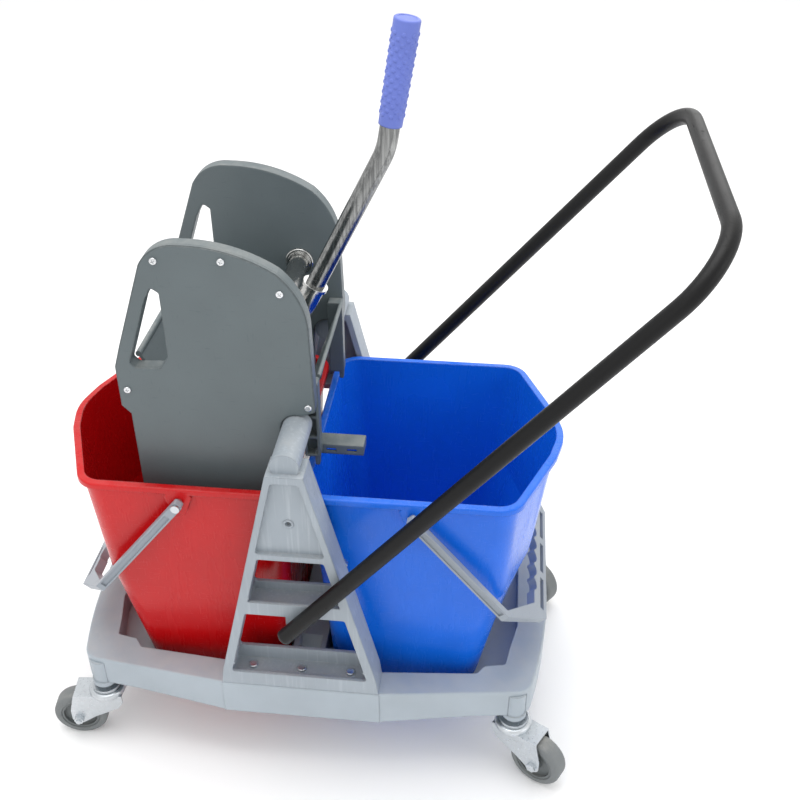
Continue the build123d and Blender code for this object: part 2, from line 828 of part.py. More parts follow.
def return_springs():
    """Flat spiral springs round the axle, one in each casing, which bring the lever back up."""
    radius = axle_shaft_radius + 3.4
    step = 2.0
    arcs = []
    x = radius
    side = 1
    for turn in range(9):
        span = radius + step / 2
        start = (x, 0)
        middle = (x - side * span, side * span)
        x = x - side * 2 * span
        arcs.append(ThreePointArc(start, middle, (x, 0)))
        radius = radius + step / 2
        side = -side
    strip = trace(arcs, line_width=0.8)
    strip = Pos(axle_x, axle_z) * strip
    outer = -casing_inner_y - casing_wall
    return both_sides(slab(strip, outer - 5, outer))


# ---------------------------------------------------------------- gears


def involute(angle):
    """The involute function of a pressure angle."""
    return math.tan(angle) - angle


def toothed_sector(teeth, first_angle, count, rim):
    """A sector of an involute gear about the origin, its first tooth centred on an angle."""
    pressure = math.radians(20)
    pitch = gear_module * teeth / 2
    base = pitch * math.cos(pressure)
    root = pitch - 1.25 * gear_module
    tip = pitch + 0.85 * gear_module
    half_tooth = math.pi / (2 * teeth) * 0.84
    outline = []
    for index in range(count):
        centre = math.radians(first_angle) + index * 2 * math.pi / teeth
        flank = []
        for step in range(4):
            radius = max(root, base) + (tip - max(root, base)) * step / 3
            slip = involute(math.acos(min(1, base / radius)))
            flank.append((radius, half_tooth + involute(pressure) - slip))
        rising = [(root, flank[0][1])] + flank if root < base else flank
        outline += [(radius, centre - angle) for radius, angle in rising]
        outline += [(radius, centre + angle) for radius, angle in reversed(rising)]
    first = outline[0][1] - math.radians(1)
    last = outline[-1][1] + math.radians(1)
    outline = [(root, first)] + outline + [(root, last), (root - rim, last)]
    steps = 8
    for index in range(1, steps):
        outline.append((root - rim, last + (first - last) * index / steps))
    outline.append((root - rim, first))
    return polygon([(r * math.cos(a), r * math.sin(a)) for r, a in outline])


def gear_slab(outline, x, z):
    """A gear outline made solid in the front casing, next to the cover."""
    outer = -casing_outer_y + 1
    return slab(Pos(x, z) * outline, outer, outer + gear_thickness)


def contact_angle():
    """Direction from the press plate's shaft to the lever axle, in degrees."""
    return math.degrees(math.atan2(axle_z - pivot_z, axle_x - pivot_x))


def lever_gears():
    """Toothed sectors on the lever axle, one in each casing."""
    pitch_angle = 360 / lever_teeth
    first = contact_angle() - 180 - pitch_angle
    teeth = toothed_sector(lever_teeth, first, 8, 9)
    spread = math.radians(first + 3.5 * pitch_angle)
    reach = lever_pitch_radius - 8
    web = []
    for angle, radius in ((-1.25, 12), (-0.55, reach), (0.55, reach), (1.25, 12)):
        web.append((radius * math.cos(spread + angle), radius * math.sin(spread + angle)))
    sector = teeth + polygon(web) + Circle(axle_shaft_radius + 5)
    gear = gear_slab(sector, axle_x, axle_z)
    hub_outer = -casing_outer_y + 1 + gear_thickness
    gear += rod(axle_x, axle_z, axle_shaft_radius + 2, hub_outer, -casing_inner_y - casing_wall - 0.5)
    return both_sides(gear - rod(axle_x, axle_z, axle_shaft_radius, -casing_outer_y, -casing_inner_y))


def press_gears():
    """Long toothed arms on the press plate's shaft, driven by the lever's sectors."""
    pitch_angle = 360 / plate_teeth
    first = contact_angle() - 5.5 * pitch_angle
    teeth = toothed_sector(plate_teeth, first, 7, 5)
    reach = plate_pitch_radius - 7
    # the arm passes beside the saddle notch before it widens under the teeth
    clear = -(saddle_radius + saddle_clearance + casing_wall + 4) - pivot_x
    web = [(-9, 0), (9, 0), (clear, reach - 28), (clear + 26, reach - 3), (clear, reach)]
    web += [(clear - 18, reach)]
    sector = teeth + polygon(web) + Circle(press_shaft_radius + 5.5)
    gear = gear_slab(sector, pivot_x, pivot_z)
    return both_sides(gear - rod(pivot_x, pivot_z, press_shaft_radius, -casing_outer_y, -casing_inner_y))


# ---------------------------------------------------------------- lever


def lever_point(along):
    """A point on the lever tube's straight part, measured from beside the axle."""
    angle = math.radians(lever_angle)
    offset_from_axle = 2 * axle_tube_radius
    x = axle_x + offset_from_axle * math.cos(angle) + along * math.sin(angle)
    z = axle_z - offset_from_axle * math.sin(angle) + along * math.cos(angle)
    return (x, z)


def lever_path(start, top_z):
    """Centre line of the lever tube from a distance above the axle to a height."""
    straight = math.radians(lever_angle)
    upper = math.radians(lever_top_angle)
    foot_x, foot_z = lever_point(start)
    bend_z = saddle_z + lever_bend_rise
    bend_x = foot_x + (bend_z - foot_z) * math.tan(straight)
    top_x = bend_x + (top_z - bend_z) * math.tan(upper)
    points = [(foot_x, 0, foot_z), (bend_x, 0, bend_z), (top_x, 0, top_z)]
    return FilletPolyline(*points, radius=lever_bend_radius)


def lever_axle():
    """Welded piece: the axle tube with stub shafts, and the socket that takes the lever."""
    half = casing_inner_y - 7.5
    axle = rod(axle_x, axle_z, axle_tube_radius, -half, half)
    axle += rod(axle_x, axle_z, axle_shaft_radius, -casing_outer_y + 1.5, casing_outer_y - 1.5)
    low = Vector(lever_point(0)[0], 0, lever_point(0)[1])
    high = Vector(lever_point(43)[0], 0, lever_point(43)[1])
    plane = Plane(origin=low, z_dir=high - low)
    axle += extrude(plane * Circle(lever_tube_radius + socket_wall), amount=43)
    axle += extrude(plane.offset(38) * Circle(lever_tube_radius + socket_wall + 2.5), amount=5)
    weld = plane.offset(2) * Rectangle(30, 16)
    weld = Pos(-13 * math.cos(math.radians(lever_angle)), 0, 13 * math.sin(math.radians(lever_angle))) * weld
    axle += extrude(weld, amount=16, dir=high - low)
    return axle - extrude(plane.offset(3) * Circle(lever_tube_radius), amount=60)


def lever_tube():
    """Bent steel tube of the lever."""
    path = lever_path(3, saddle_z + lever_top_rise - 4)
    ring = Circle(lever_tube_radius) - Circle(lever_tube_radius - lever_tube_wall)
    start = Plane(origin=path @ 0, z_dir=path % 0)
    return sweep(start * ring, path=path)


def lever_grip():
    """Rubber grip with a closed, rounded end."""
    end = lever_path(3, saddle_z + lever_top_rise) @ 1
    upper = math.radians(lever_top_angle)
    direction = Vector(math.sin(upper), 0, math.cos(upper))
    foot = end - direction * grip_length
    plane = Plane(origin=foot, z_dir=direction)
    grip = extrude(plane * Circle(grip_radius), amount=grip_length)
    grip = fillet(grip.edges().filter_by(GeomType.CIRCLE), 2.5)
    bore_end = lever_path(3, saddle_z + lever_top_rise - 4) @ 1
    depth = (bore_end - foot).length
    return grip - extrude(plane.offset(-1) * Circle(lever_tube_radius), amount=depth + 1)


# ---------------------------------------------------------------- press plate


def press_shaft():
    """Steel shaft that the press plate turns with."""
    return rod(pivot_x, pivot_z, press_shaft_radius, -casing_outer_y + 1.5, casing_outer_y - 1.5)


def press_plate():
    """The moving plate: a sieve with a hub along its foot, a beaded top edge and ribs behind."""
    top = Vector(press_top_x, 0, saddle_z + press_top_rise)
    foot = Vector(pivot_x, 0, pivot_z)
    up = (top - foot).normalized()
    out = Vector(up.Z, 0, -up.X)
    length = (top - foot).length
    half = press_half_width
    plane = Plane(origin=foot, x_dir=out, z_dir=(0, -1, 0))
    t = sieve_thickness / 2
    profile = polygon([(-t, 0), (t, 0), (t, length), (-t, length)])
    profile += Circle(press_shaft_radius + 4)
    profile += Pos(0, length) * Circle(t + 0.7)
    plate = extrude(plane * profile, amount=half, both=True)
    face = Plane(origin=foot + up * (length * 0.58), x_dir=(0, 1, 0), z_dir=out)
    holes = [face * hole for hole in GridLocations(22, 22, 7, 5) * Circle(sieve_hole_radius)]
    for hole in holes:
        plate -= extrude(hole, amount=t + 3, both=True)
    rib = plane * polygon([(t, length * 0.3), (t + 9, length * 0.45), (t, length - 25)])
    for place in (-55, 0, 55):
        plate += Pos(0, place, 0) * extrude(rib, amount=1.5, both=True)
    return plate - rod(pivot_x, pivot_z, press_shaft_radius, -half - 1, half + 1)


# ---------------------------------------------------------------- assembly


def to_red(shape):
    """The red bucket's pieces are the blue bucket's, turned round the middle of the trolley."""
    return mirror(shape, about=Plane.YZ)


def assemble():
    """Every piece by name, in the layout frame about the uprights."""
    blue_bucket = bucket()
    blue_pins = bail_pins()
    blue_bail = bail()
    front_upright = upright()
    casing = front_casing()
    cover = front_cover()
    screws = cover_screws()
    front_bracket = bracket()
    pieces = {
        "base_frame": base_frame(),
        "castor_sockets": castor_sockets(),
        "front_upright": front_upright,
        "rear_upright": mirror(front_upright, about=Plane.XZ),
        "upright_screws": upright_screws(),
        "push_handle": push_handle(),
        "handle_bolts": handle_bolts(),
        "handle_end_plugs": handle_end_plugs(),
        "blue_bucket": blue_bucket,
        "blue_bail_pins": blue_pins,
        "blue_bail": blue_bail,
        "red_bucket": to_red(blue_bucket),
        "red_bail_pins": to_red(blue_pins),
        "red_bail": to_red(blue_bail),
        "front_casing": casing,
        "rear_casing": mirror(casing, about=Plane.XZ),
        "front_cover": cover,
        "rear_cover": mirror(cover, about=Plane.XZ),
        "front_cover_screws": screws,
        "rear_cover_screws": mirror(screws, about=Plane.XZ),
        "fixed_sieve": fixed_sieve(),
        "front_bracket": front_bracket,
        "rear_bracket": mirror(front_bracket, about=Plane.XZ),
        "rest_arm": rest_arm(),
        "axle_flanges": axle_flanges(),
        "pivot_bushes": pivot_bushes(),
        "return_springs": return_springs(),
        "lever_axle": lever_axle(),
        "lever_gears": lever_gears(),
        "lever_tube": lever_tube(),
        "lever_grip": lever_grip(),
        "press_shaft": press_shaft(),
        "press_gears": press_gears(),
        "press_plate": press_plate(),
    }
    makers = {
        "stem": castor_stem,
        "race": castor_race,
        "fork": castor_fork,
        "axle_bolt": castor_axle,
        "hub": castor_hub,
        "tyre": castor_tyre,
    }
    for name, maker in makers.items():
        shape = maker()
        for corner in castor_headings:
            pieces[f"{corner}_castor_{name}"] = place_castor(shape, corner)
    return pieces


def shift_to_centre(pieces):
    """How far the layout moves along X, to put the origin under the middle of the whole."""
    boxes = [piece.bounding_box() for piece in pieces.values()]
    low = min(box.min.X for box in boxes)
    high = max(box.max.X for box in boxes)
    return -(low + high) / 2


parts = assemble()
shift = shift_to_centre(parts)
for name, piece in parts.items():
    export_step(Pos(shift, 0, 0) * piece, f"parts/{name}.step")
print(f"{len(parts)} pieces, shifted {shift:.3f} mm along X")
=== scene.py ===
import math

import bpy
from mathutils import Matrix, Vector


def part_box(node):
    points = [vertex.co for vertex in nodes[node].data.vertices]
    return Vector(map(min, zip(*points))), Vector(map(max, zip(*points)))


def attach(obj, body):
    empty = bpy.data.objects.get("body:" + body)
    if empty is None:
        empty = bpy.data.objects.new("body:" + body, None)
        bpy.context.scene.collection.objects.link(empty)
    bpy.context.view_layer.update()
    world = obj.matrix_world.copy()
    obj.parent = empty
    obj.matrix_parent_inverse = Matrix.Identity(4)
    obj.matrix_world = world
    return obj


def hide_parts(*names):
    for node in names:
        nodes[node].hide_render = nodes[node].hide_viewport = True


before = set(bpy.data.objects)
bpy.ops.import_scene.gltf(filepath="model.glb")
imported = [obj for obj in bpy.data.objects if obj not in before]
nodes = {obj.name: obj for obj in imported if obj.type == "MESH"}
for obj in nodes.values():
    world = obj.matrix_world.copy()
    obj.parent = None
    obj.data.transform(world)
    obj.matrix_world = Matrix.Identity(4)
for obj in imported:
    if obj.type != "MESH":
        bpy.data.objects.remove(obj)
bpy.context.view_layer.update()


# ---------------------------------------------------------------- base frame
# One grey polypropylene moulding, hollow from below, with a fine spark grain on its outer
# faces. Its edges are rubbed a little paler and dust lies in the wells.

bpy.context.scene.view_settings.view_transform = "Standard"


def srgb(red, green, blue):
    """A display colour as the linear values a shader wants."""
    linear = []
    for value in (red, green, blue):
        share = value / 255
        linear.append(share / 12.92 if share <= 0.04045 else ((share + 0.055) / 1.055) ** 2.4)
    return (*linear, 1.0)


def shader_group(name, inputs, outputs):
    """An empty shader node group with float inputs and typed outputs."""
    group = bpy.data.node_groups.new(name, "ShaderNodeTree")
    for label, value in inputs.items():
        socket = group.interface.new_socket(label, in_out="INPUT", socket_type="NodeSocketFloat")
        socket.default_value = value
    for label, kind in outputs.items():
        group.interface.new_socket(label, in_out="OUTPUT", socket_type=kind)
    return group, group.nodes.new("NodeGroupInput"), group.nodes.new("NodeGroupOutput")


def feed(tree, source, target):
    """Links a socket into another, or sets a plain value on it."""
    if isinstance(source, bpy.types.NodeSocket):
        tree.links.new(source, target)
    else:
        target.default_value = source


def calculate(tree, operation, first, second=0.0, clamp=False):
    """A Math node's result."""
    node = tree.nodes.new("ShaderNodeMath")
    node.operation = operation
    node.use_clamp = clamp
    feed(tree, first, node.inputs[0])
    feed(tree, second, node.inputs[1])
    return node.outputs[0]


def spread(tree, value, low, high, to_low=0.0, to_high=1.0):
    """A value mapped from one range to another, held at its ends."""
    node = tree.nodes.new("ShaderNodeMapRange")
    feed(tree, value, node.inputs["Value"])
    ends = {"From Min": low, "From Max": high, "To Min": to_low, "To Max": to_high}
    for label, number in ends.items():
        node.inputs[label].default_value = number
    return node.outputs["Result"]


def stretched(tree, scale, turn=(0, 0, 0)):
    """Object coordinates scaled and turned, for patterns that run one way."""
    place = tree.nodes.new("ShaderNodeTexCoord")
    mapping = tree.nodes.new("ShaderNodeMapping")
    mapping.inputs["Scale"].default_value = scale
    mapping.inputs["Rotation"].default_value = turn
    tree.links.new(place.outputs["Object"], mapping.inputs["Vector"])
    return mapping.outputs["Vector"]


def noise(tree, scale, detail=2.0, rough=0.5, coords=None):
    """A noise texture on object coordinates."""
    node = tree.nodes.new("ShaderNodeTexNoise")
    feed(tree, scale, node.inputs["Scale"])
    node.inputs["Detail"].default_value = detail
    node.inputs["Roughness"].default_value = rough
    tree.links.new(coords or stretched(tree, (1, 1, 1)), node.inputs["Vector"])
    return node.outputs["Fac"]


grain, ins, outs = shader_group(
    "moulded grain", {"Scale": 900.0}, {"Height": "NodeSocketFloat", "Tone": "NodeSocketFloat"}
)
fine = noise(grain, ins.outputs["Scale"], 3, 0.6)
broad = noise(grain, 9.0, 3, 0.55)
feed(grain, fine, outs.inputs["Height"])
feed(grain, spread(grain, broad, 0.3, 0.7), outs.inputs["Tone"])

wear, ins, outs = shader_group(
    "worn edges",
    {"Radius": 0.0015, "Amount": 0.5},
    {"Mask": "NodeSocketFloat", "Normal": "NodeSocketVector"},
)
bevel = wear.nodes.new("ShaderNodeBevel")
bevel.samples = 4
feed(wear, ins.outputs["Radius"], bevel.inputs["Radius"])
facing = wear.nodes.new("ShaderNodeNewGeometry")
turned = wear.nodes.new("ShaderNodeVectorMath")
turned.operation = "DOT_PRODUCT"
feed(wear, bevel.outputs["Normal"], turned.inputs[0])
feed(wear, facing.outputs["Normal"], turned.inputs[1])
edge = spread(wear, turned.outputs["Value"], 0.99, 0.8)
patches = spread(wear, noise(wear, 160.0, 4, 0.7), 0.45, 0.65)
mask = calculate(wear, "MULTIPLY", calculate(wear, "MULTIPLY", edge, patches), ins.outputs["Amount"])
feed(wear, mask, outs.inputs["Mask"])
feed(wear, bevel.outputs["Normal"], outs.inputs["Normal"])

dust, ins, outs = shader_group("settled dust", {"Amount": 0.2}, {"Mask": "NodeSocketFloat"})
facing = dust.nodes.new("ShaderNodeNewGeometry")
split = dust.nodes.new("ShaderNodeSeparateXYZ")
feed(dust, facing.outputs["Normal"], split.inputs[0])
upward = spread(dust, split.outputs["Z"], 0.6, 1.0)
clumps = spread(dust, noise(dust, 38.0, 5, 0.65), 0.35, 0.7)
mask = calculate(dust, "MULTIPLY", calculate(dust, "MULTIPLY", upward, clumps), ins.outputs["Amount"])
feed(dust, mask, outs.inputs["Mask"])

scuffs, ins, outs = shader_group("scuffs", {"Amount": 0.3}, {"Mask": "NodeSocketFloat"})
long_marks = noise(scuffs, 60.0, 2, 0.5, stretched(scuffs, (1, 1, 9), (0.3, 0.9, 0.2)))
cross_marks = noise(scuffs, 70.0, 2, 0.5, stretched(scuffs, (8, 1, 1), (0.5, 0.2, 0.9)))
both = calculate(scuffs, "MAXIMUM", long_marks, cross_marks)
mask = calculate(scuffs, "MULTIPLY", spread(scuffs, both, 0.66, 0.74), ins.outputs["Amount"])
feed(scuffs, mask, outs.inputs["Mask"])


def placed(tree, group, **values):
    """A shader group set into a material with its own values."""
    node = tree.nodes.new("ShaderNodeGroup")
    node.node_tree = group
    for label, value in values.items():
        node.inputs[label].default_value = value
    return node


def blend_colour(tree, share, first, second):
    """Two colours mixed by a mask."""
    node = tree.nodes.new("ShaderNodeMix")
    node.data_type = "RGBA"
    feed(tree, share, node.inputs[0])
    feed(tree, first, node.inputs[6])
    feed(tree, second, node.inputs[7])
    return node.outputs[2]


def shade(colour, factor):
    """A colour made darker or lighter."""
    return (*(min(1.0, channel * factor) for channel in colour[:3]), 1.0)


def bumped(tree, shader, height, normal, depth, strength=1.0):
    """Height fed to a Bump node over the softened edges."""
    bump = tree.nodes.new("ShaderNodeBump")
    bump.inputs["Distance"].default_value = depth
    bump.inputs["Strength"].default_value = strength
    feed(tree, height, bump.inputs["Height"])
    feed(tree, normal, bump.inputs["Normal"])
    feed(tree, bump.outputs["Normal"], shader.inputs["Normal"])


def moulded(
    name, colour, rough, scale=900.0, depth=0.00006, worn=0.35, dusty=0.25, marks=0.3, radius=0.0015
):
    """Injection-moulded plastic: a spark grain, rubbed edges, fine scuffs and a little dust."""
    material = bpy.data.materials.new(name)
    material.use_nodes = True
    tree = material.node_tree
    shader = tree.nodes["Principled BSDF"]
    skin = placed(tree, grain, Scale=scale)
    edges = placed(tree, wear, Radius=radius, Amount=worn)
    lying = placed(tree, dust, Amount=dusty)
    rubbed = placed(tree, scuffs, Amount=marks)
    tone = blend_colour(tree, skin.outputs["Tone"], shade(colour, 0.93), shade(colour, 1.07))
    pale = tuple(0.55 * channel + 0.25 for channel in colour[:3]) + (1.0,)
    tone = blend_colour(tree, edges.outputs["Mask"], tone, pale)
    tone = blend_colour(tree, lying.outputs["Mask"], tone, srgb(196, 192, 184))
    feed(tree, tone, shader.inputs["Base Color"])
    dull = spread(tree, skin.outputs["Tone"], 0, 1, rough - 0.04, rough + 0.05)
    dull = calculate(tree, "ADD", dull, rubbed.outputs["Mask"])
    dull = calculate(tree, "ADD", dull, lying.outputs["Mask"], clamp=True)
    feed(tree, dull, shader.inputs["Roughness"])
    height = calculate(tree, "SUBTRACT", skin.outputs["Height"], rubbed.outputs["Mask"])
    bumped(tree, shader, height, edges.outputs["Normal"], depth)
    return material


def paint(material, *names):
    """Gives CAD nodes a material of their own."""
    for name in names:
        nodes[name].data.materials.clear()
        nodes[name].data.materials.append(material)


base_grey = moulded("chassis grey", srgb(160, 170, 178), 0.42, radius=0.0025)
paint(base_grey, "base_frame", "castor_sockets")


# ---------------------------------------------------------------- castors
# Zinc-plated pressed forks on a ball race and king pin, with grey rubber tyres on dark
# moulded centres. The axle bolts are plated, and the tyres carry a little grime.


def plated(name, colour, low, high, scale, depth=0.00002, worn=0.3, radius=0.0008):
    """Plated or plain metal: cloudy plating, fine marks and edges rubbed bright."""
    material = bpy.data.materials.new(name)
    material.use_nodes = True
    tree = material.node_tree
    shader = tree.nodes["Principled BSDF"]
    shader.inputs["Metallic"].default_value = 1.0
    skin = placed(tree, grain, Scale=scale)
    edges = placed(tree, wear, Radius=radius, Amount=worn)
    rubbed = placed(tree, scuffs, Amount=0.5)
    tone = blend_colour(tree, skin.outputs["Tone"], shade(colour, 0.86), shade(colour, 1.06))
    tone = blend_colour(tree, edges.outputs["Mask"], tone, shade(colour, 1.25))
    feed(tree, tone, shader.inputs["Base Color"])
    dull = spread(tree, skin.outputs["Height"], 0.3, 0.7, low, high)
    dull = calculate(tree, "ADD", dull, calculate(tree, "MULTIPLY", rubbed.outputs["Mask"], 0.3))
    feed(tree, dull, shader.inputs["Roughness"])
    bumped(tree, shader, skin.outputs["Height"], edges.outputs["Normal"], depth)
    return material


def spangled(name, colour):
    """Zinc plate with its faint crystal patches."""
    material = plated(name, colour, 0.24, 0.42, 260.0)
    tree = material.node_tree
    shader = tree.nodes["Principled BSDF"]
    cells = tree.nodes.new("ShaderNodeTexVoronoi")
    cells.inputs["Scale"].default_value = 140.0
    feed(tree, stretched(tree, (1, 1, 1)), cells.inputs["Vector"])
    under = shader.inputs["Base Color"].links[0].from_socket
    patch = spread(tree, cells.outputs["Distance"], 0.1, 0.9, 0.0, 0.25)
    feed(tree, blend_colour(tree, patch, under, shade(colour, 0.72)), shader.inputs["Base Color"])
    return material


corners = ("front_left", "front_right", "rear_left", "rear_right")
zinc = spangled("zinc plate", srgb(205, 210, 214))
tyre_rubber = moulded(
    "grey tyre rubber", srgb(112, 116, 117), 0.62, 520.0, 0.00014, 0.15, 0.35, 0.5, 0.002
)
wheel_centre = moulded("wheel centre", srgb(98, 103, 104), 0.5, 800.0, 0.00008, 0.3, 0.3)
for corner in corners:
    paint(tyre_rubber, f"{corner}_castor_tyre")
    paint(wheel_centre, f"{corner}_castor_hub")
    for piece in ("stem", "race", "fork", "axle_bolt"):
        paint(zinc, f"{corner}_castor_{piece}")


# ---------------------------------------------------------------- uprights
# Two A-shaped mouldings in a bluish grey, screwed down on the base. The web between the
# legs shows the tall streaks that the plastic leaves as it fills the mould.

upright_grey = moulded("upright grey", srgb(150, 159, 167), 0.4, radius=0.0025)
tree = upright_grey.node_tree
shader = tree.nodes["Principled BSDF"]
streaks = noise(tree, 26.0, 4, 0.6, stretched(tree, (9, 9, 0.35)))
under = shader.inputs["Base Color"].links[0].from_socket
pale_streak = spread(tree, streaks, 0.52, 0.68, 0.0, 0.24)
feed(tree, blend_colour(tree, pale_streak, under, srgb(198, 204, 209)), shader.inputs["Base Color"])
paint(upright_grey, "front_upright", "rear_upright")
paint(zinc, "upright_screws")


# ---------------------------------------------------------------- push handle
# Bent steel tube with a black powder coat, bolted through both uprights. The coat has a
# close orange-peel skin and shines softly along the tube.

powder = moulded("black powder coat", srgb(9, 9, 10), 0.42, 1500.0, 0.00012, 0.12, 0.02, 0.2, 0.001)
powder.node_tree.nodes["Principled BSDF"].inputs["Specular IOR Level"].default_value = 0.26
paint(powder, "push_handle")
plug_black = moulded("black plug", srgb(30, 30, 31), 0.5)
paint(plug_black, "handle_end_plugs")
paint(zinc, "handle_bolts")


# ---------------------------------------------------------------- buckets and bails
# Glossy red and blue tubs with a rolled lip, each with a grey moulded bail on two headed
# pins. Their gloss is broken by faint scuffs and dried drips.


def glossy(name, colour):
    """Glossy tub plastic with faint drips down its walls."""
    material = moulded(name, colour, 0.24, 700.0, 0.00003, 0.3, 0.06, 0.28, 0.003)
    tree = material.node_tree
    shader = tree.nodes["Principled BSDF"]
    drips = noise(tree, 15.0, 5, 0.6, stretched(tree, (3, 3, 0.4)))
    before = shader.inputs["Roughness"].links[0].from_socket
    dull = calculate(tree, "ADD", before, spread(tree, drips, 0.5, 0.75, 0.0, 0.12))
    feed(tree, dull, shader.inputs["Roughness"])
    shader.inputs["Specular IOR Level"].default_value = 0.38
    return material


paint(glossy("tub red", srgb(190, 9, 14)), "red_bucket")
paint(glossy("tub blue", srgb(14, 100, 216)), "blue_bucket")
bail_grey = moulded("bail grey", srgb(144, 152, 161), 0.42)
paint(bail_grey, "red_bail", "blue_bail")
paint(zinc, "red_bail_pins", "blue_bail_pins")


# ---------------------------------------------------------------- wringer shells
# Two flat side panels, each an inner casing with a screwed cover, in a darker slate grey.
# The plates between them are the same plastic, drilled so that the water runs through.

slate = moulded("wringer slate", srgb(91, 101, 104), 0.42, 1000.0, 0.00007, 0.3, 0.22, 0.35, 0.0035)
paint(slate, "front_casing", "rear_casing", "front_cover", "rear_cover")
paint(slate, "front_bracket", "rear_bracket", "rest_arm")
sieve_grey = moulded("sieve grey", srgb(100, 109, 112), 0.42)
paint(sieve_grey, "fixed_sieve", "press_plate")
paint(plug_black, "pivot_bushes")


# ---------------------------------------------------------------- cover screws
# Five bright pan-head screws with a cross recess hold each cover. Their heads stand on the
# cover's face, and the shanks go into the casing's bosses.

bright = plated("bright plate", srgb(222, 224, 226), 0.14, 0.26, 600.0)
screw_places = (
    (-0.2094, 0.7846),
    (-0.1284, 0.7876),
    (-0.0614, 0.7486),
    (-0.2674, 0.5996),
    (-0.0354, 0.5876),
)
head_radius = 0.0048
head_height = 0.0026
head_sides = 28
shank_radius = 0.0019
shank_length = 0.011
shank_sides = 14
cover_face = 0.132


def active(thing):
    """Leaves one object selected and active."""
    if bpy.context.mode != "OBJECT":
        bpy.ops.object.mode_set(mode="OBJECT")
    bpy.ops.object.select_all(action="DESELECT")
    thing.select_set(True)
    bpy.context.view_layer.objects.active = thing


def settle(thing):
    """Puts an object's place into its mesh."""
    active(thing)
    bpy.ops.object.transform_apply(location=True, rotation=True, scale=True)


def joined(things, name):
    """Several objects as one named piece."""
    active(things[0])
    for thing in things:
        thing.select_set(True)
    bpy.ops.object.join()
    made = bpy.context.view_layer.objects.active
    made.name = name
    return made


def finish_piece(thing, material, body, slot_name, *replaced):
    """Material, smooth faces with sharp corners, a place under its body's empty, and the parts it
    replaces hidden.
    """
    thing.data.materials.clear()
    thing.data.materials.append(material)
    active(thing)
    bpy.ops.object.shade_smooth_by_angle(angle=math.radians(35))
    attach(thing, body)
    if replaced:
        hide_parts(*replaced)


def select_where(thing, kind, test):
    """Selects the faces or edges that pass a test, in edit mode."""
    active(thing)
    bpy.ops.object.mode_set(mode="EDIT")
    bpy.ops.mesh.select_mode(type=kind)
    bpy.ops.mesh.select_all(action="DESELECT")
    bpy.ops.object.mode_set(mode="OBJECT")
    mesh = thing.data
    if kind == "FACE":
        for face in mesh.polygons:
            face.select = test(face)
    else:
        for line in mesh.edges:
            ends = [mesh.vertices[index].co for index in line.vertices]
            line.select = test(ends[0], ends[1])
    bpy.ops.object.mode_set(mode="EDIT")


def cut_away(thing, cutter):
    """A boolean cut, applied, and its cutter removed."""
    modifier = thing.modifiers.new("cut", "BOOLEAN")
    modifier.operation = "DIFFERENCE"
    modifier.solver = "EXACT"
    modifier.object = cutter
    active(thing)
    bpy.ops.object.modifier_apply(modifier=modifier.name)
    bpy.data.objects.remove(cutter)


def pan_screw():
    """One pan-head screw standing up along Z, its seat at the origin."""
    bpy.ops.object.select_all(action="DESELECT")
    bpy.ops.mesh.primitive_cylinder_add(
        vertices=head_sides, radius=head_radius, depth=head_height, location=(0, 0, head_height / 2)
    )
    head = bpy.context.object
    settle(head)
    select_where(head, "EDGE", lambda a, b: a.z > head_height * 0.9 and b.z > head_height * 0.9)
    bpy.ops.mesh.bevel(offset=head_height * 0.72, segments=4, profile=0.6)
    bpy.ops.object.mode_set(mode="OBJECT")
    for turn in (0, math.pi / 2):
        bpy.ops.object.select_all(action="DESELECT")
        bpy.ops.mesh.primitive_cube_add(size=1, location=(0, 0, head_height), rotation=(0, 0, turn))
        slit = bpy.context.object
        slit.scale = (head_radius * 1.05, head_radius * 0.22, head_height * 1.1)
        settle(slit)
        cut_away(head, slit)
    bpy.ops.object.select_all(action="DESELECT")
    bpy.ops.mesh.primitive_cylinder_add(
        vertices=shank_sides, radius=shank_radius, depth=shank_length, location=(0, 0, -shank_length / 2)
    )
    return joined([head, bpy.context.object], "pan screw")


pattern = pan_screw()
for side, label in ((-1, "front"), (1, "rear")):
    copies = []
    for index, (x, z) in enumerate(screw_places):
        copy = pattern.copy()
        copy.data = pattern.data.copy()
        bpy.context.scene.collection.objects.link(copy)
        lay = Matrix.Rotation(math.radians(90) * -side, 4, "X")
        spin = Matrix.Rotation(0.4 + 0.9 * index, 4, "Z")
        copy.matrix_world = Matrix.Translation((x, cover_face * side, z)) @ lay @ spin
        settle(copy)
        copies.append(copy)
    heads = joined(copies, f"{label}_screw_heads")
    finish_piece(heads, bright, "wringer", "zinc", f"{label}_cover_screws")
bpy.data.objects.remove(pattern)


# ---------------------------------------------------------------- lever and its axle
# A chromed axle in flanged bushes, with a welded socket that takes a bent chromed tube.
# The toothed sectors and flat springs behind the covers are plain steel.

chrome = plated("lever chrome", srgb(196, 196, 194), 0.1, 0.24, 420.0, 0.00001, 0.2, 0.001)
paint(chrome, "axle_flanges", "lever_axle")
# The tube's base colour is set darker, and dark streaks are mixed into it along its length. Both are
# painted reflections that stand in for the dark bands a chrome tube mirrors from its surroundings.
tube_chrome = plated("brushed chrome painted reflections", srgb(158, 159, 158), 0.14, 0.28, 420.0, 0.00001, 0.2, 0.001)
tree = tube_chrome.node_tree
shader = tree.nodes["Principled BSDF"]
reflection_bands = noise(tree, 30.0, 3, 0.6, stretched(tree, (14, 14, 0.25), (0, math.radians(-22), 0)))
under = shader.inputs["Base Color"].links[0].from_socket
dark_reflection_share = spread(tree, reflection_bands, 0.4, 0.62, 0.65, 0.0)
feed(tree, blend_colour(tree, dark_reflection_share, under, srgb(80, 81, 82)), shader.inputs["Base Color"])
paint(tube_chrome, "lever_tube")
steel = plated("plain steel", srgb(168, 168, 168), 0.3, 0.5, 500.0)
paint(steel, "lever_gears", "press_gears", "press_shaft", "return_springs")


# ---------------------------------------------------------------- lever grip
# A soft violet-blue sleeve pushed on the tube's end, with raised pips in staggered rows
# and a plain band at each end.

